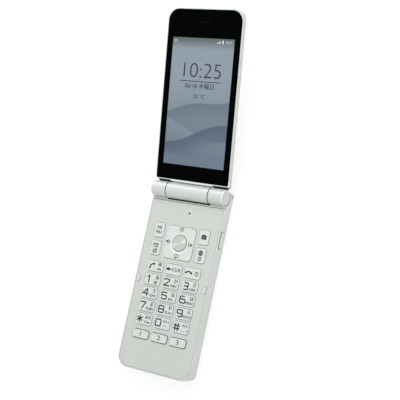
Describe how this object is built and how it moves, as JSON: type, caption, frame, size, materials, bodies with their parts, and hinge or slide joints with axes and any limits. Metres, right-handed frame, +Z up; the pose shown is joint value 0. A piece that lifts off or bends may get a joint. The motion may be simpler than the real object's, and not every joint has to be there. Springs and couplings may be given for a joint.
{
  "type": "flip phone",
  "caption": "Slim flip phone lying open on its back: keypad base with a round hinge barrel and a hinged lid that carries a tall screen under black glass.",
  "frame": {"origin": "centre of the flat rear face that the base rests on", "axes": "+X to the right of the keys, +Y from the bottom end to the hinge, +Z up out of the keys"},
  "size_m": [0.0515, 0.2138, 0.0369],
  "materials": {
    "shell": "pearl satin paint",
    "rim": "satin",
    "barrel": "gloss silver white",
    "glass": "gloss black",
    "screen": "gloss",
    "metal": "satin",
    "black": "matte",
    "light_window": "gloss",
    "flex": "satin",
    "battery": "satin",
    "board": "matte",
    "rubber": "matte",
    "stop": "matte",
    "key": "satin",
    "select": "spun satin",
    "side_key": "satin"
  },
  "bodies": {
    "base": {"base_front_cover": "shell", "base_rear_case": "shell", "battery_cover": "shell", "battery_pack": "battery", "main_board": "board", "keypad_rubber": "rubber", "dome_sheet": "flex", "loudspeaker": "black", "microphone": "metal", "vibration_motor": "metal", "usb_connector": "metal", "base_screws": "metal", "lid_stops": "stop", "hinge_shaft": "metal", "pivot_bush": "metal", "hinge_flex": "flex", "hinge_cap_left": "barrel", "hinge_cap_right": "barrel"},
    "lid": {"lid_front_frame": "rim", "lid_rear_cover": "shell", "centre_barrel": "barrel", "display_glass": "glass", "lcd_module": "screen", "receiver_speaker": "metal", "camera_module": "black", "camera_ring": "metal", "camera_window": "glass", "flash_window": "light_window", "sub_display_panel": "screen", "sub_display_window": "glass", "lid_screws": "metal", "hinge_unit": "metal"},
    "key_1": {"key_1": "key"},
    "key_2": {"key_2": "key"},
    "key_3": {"key_3": "key"},
    "key_4": {"key_4": "key"},
    "key_5": {"key_5": "key"},
    "key_6": {"key_6": "key"},
    "key_7": {"key_7": "key"},
    "key_8": {"key_8": "key"},
    "key_9": {"key_9": "key"},
    "key_star": {"key_star": "key"},
    "key_0": {"key_0": "key"},
    "key_hash": {"key_hash": "key"},
    "key_call": {"key_call": "key"},
    "key_clear": {"key_clear": "key"},
    "key_end": {"key_end": "key"},
    "key_menu": {"key_menu": "key"},
    "key_mail": {"key_mail": "key"},
    "key_camera": {"key_camera": "key"},
    "key_web": {"key_web": "key"},
    "quick_key_1": {"quick_key_1": "key"},
    "quick_key_2": {"quick_key_2": "key"},
    "quick_key_3": {"quick_key_3": "key"},
    "select_key": {"select_key": "select"},
    "side_key": {"side_key": "side_key"},
    "dpad_plate": {"dpad_plate": "metal"},
    "dpad": {"dpad": "key"}
  },
  "joints": [
    {"name": "lid_hinge", "type": "hinge", "parent": "base", "child": "lid", "pos_m": [0, 0.052, 0.01075], "axis": [1, 0, 0], "range_deg": [0, 165.7]},
    {"name": "key_1_press", "type": "slide", "parent": "base", "child": "key_1", "axis": [0, 0, -1], "range_m": [0, 0.00035], "stiffness_N_per_m": 1500},
    {"name": "key_2_press", "type": "slide", "parent": "base", "child": "key_2", "axis": [0, 0, -1], "range_m": [0, 0.00035], "stiffness_N_per_m": 1500},
    {"name": "key_3_press", "type": "slide", "parent": "base", "child": "key_3", "axis": [0, 0, -1], "range_m": [0, 0.00035], "stiffness_N_per_m": 1500},
    {"name": "key_4_press", "type": "slide", "parent": "base", "child": "key_4", "axis": [0, 0, -1], "range_m": [0, 0.00035], "stiffness_N_per_m": 1500},
    {"name": "key_5_press", "type": "slide", "parent": "base", "child": "key_5", "axis": [0, 0, -1], "range_m": [0, 0.00035], "stiffness_N_per_m": 1500},
    {"name": "key_6_press", "type": "slide", "parent": "base", "child": "key_6", "axis": [0, 0, -1], "range_m": [0, 0.00035], "stiffness_N_per_m": 1500},
    {"name": "key_7_press", "type": "slide", "parent": "base", "child": "key_7", "axis": [0, 0, -1], "range_m": [0, 0.00035], "stiffness_N_per_m": 1500},
    {"name": "key_8_press", "type": "slide", "parent": "base", "child": "key_8", "axis": [0, 0, -1], "range_m": [0, 0.00035], "stiffness_N_per_m": 1500},
    {"name": "key_9_press", "type": "slide", "parent": "base", "child": "key_9", "axis": [0, 0, -1], "range_m": [0, 0.00035], "stiffness_N_per_m": 1500},
    {"name": "key_star_press", "type": "slide", "parent": "base", "child": "key_star", "axis": [0, 0, -1], "range_m": [0, 0.00035], "stiffness_N_per_m": 1500},
    {"name": "key_0_press", "type": "slide", "parent": "base", "child": "key_0", "axis": [0, 0, -1], "range_m": [0, 0.00035], "stiffness_N_per_m": 1500},
    {"name": "key_hash_press", "type": "slide", "parent": "base", "child": "key_hash", "axis": [0, 0, -1], "range_m": [0, 0.00035], "stiffness_N_per_m": 1500},
    {"name": "key_call_press", "type": "slide", "parent": "base", "child": "key_call", "axis": [0, 0, -1], "range_m": [0, 0.00035], "stiffness_N_per_m": 1500},
    {"name": "key_clear_press", "type": "slide", "parent": "base", "child": "key_clear", "axis": [0, 0, -1], "range_m": [0, 0.00035], "stiffness_N_per_m": 1500},
    {"name": "key_end_press", "type": "slide", "parent": "base", "child": "key_end", "axis": [0, 0, -1], "range_m": [0, 0.00035], "stiffness_N_per_m": 1500},
    {"name": "key_menu_press", "type": "slide", "parent": "base", "child": "key_menu", "axis": [0, 0, -1], "range_m": [0, 0.00035], "stiffness_N_per_m": 1500},
    {"name": "key_mail_press", "type": "slide", "parent": "base", "child": "key_mail", "axis": [0, 0, -1], "range_m": [0, 0.00035], "stiffness_N_per_m": 1500},
    {"name": "key_camera_press", "type": "slide", "parent": "base", "child": "key_camera", "axis": [0, 0, -1], "range_m": [0, 0.00035], "stiffness_N_per_m": 1500},
    {"name": "key_web_press", "type": "slide", "parent": "base", "child": "key_web", "axis": [0, 0, -1], "range_m": [0, 0.00035], "stiffness_N_per_m": 1500},
    {"name": "quick_key_1_press", "type": "slide", "parent": "base", "child": "quick_key_1", "axis": [0, 0, -1], "range_m": [0, 0.00035], "stiffness_N_per_m": 1500},
    {"name": "quick_key_2_press", "type": "slide", "parent": "base", "child": "quick_key_2", "axis": [0, 0, -1], "range_m": [0, 0.00035], "stiffness_N_per_m": 1500},
    {"name": "quick_key_3_press", "type": "slide", "parent": "base", "child": "quick_key_3", "axis": [0, 0, -1], "range_m": [0, 0.00035], "stiffness_N_per_m": 1500},
    {"name": "select_key_press", "type": "slide", "parent": "base", "child": "select_key", "axis": [0, 0, -1], "range_m": [0, 0.00035], "stiffness_N_per_m": 1500},
    {"name": "side_key_press", "type": "slide", "parent": "base", "child": "side_key", "axis": [-1, 0, 0], "range_m": [0, 0.00035], "stiffness_N_per_m": 1500},
    {"name": "dpad_tilt_up_down", "type": "hinge", "parent": "base", "child": "dpad_plate", "pos_m": [0, 0.0214, 0.0077], "axis": [1, 0, 0], "range_deg": [-1.5, 1.5], "stiffness_Nm_per_rad": 0.4},
    {"name": "dpad_tilt_sideways", "type": "hinge", "parent": "dpad_plate", "child": "dpad", "pos_m": [0, 0.0214, 0.00865], "axis": [0, 1, 0], "range_deg": [-1.5, 1.5], "stiffness_Nm_per_rad": 0.4}
  ]
}
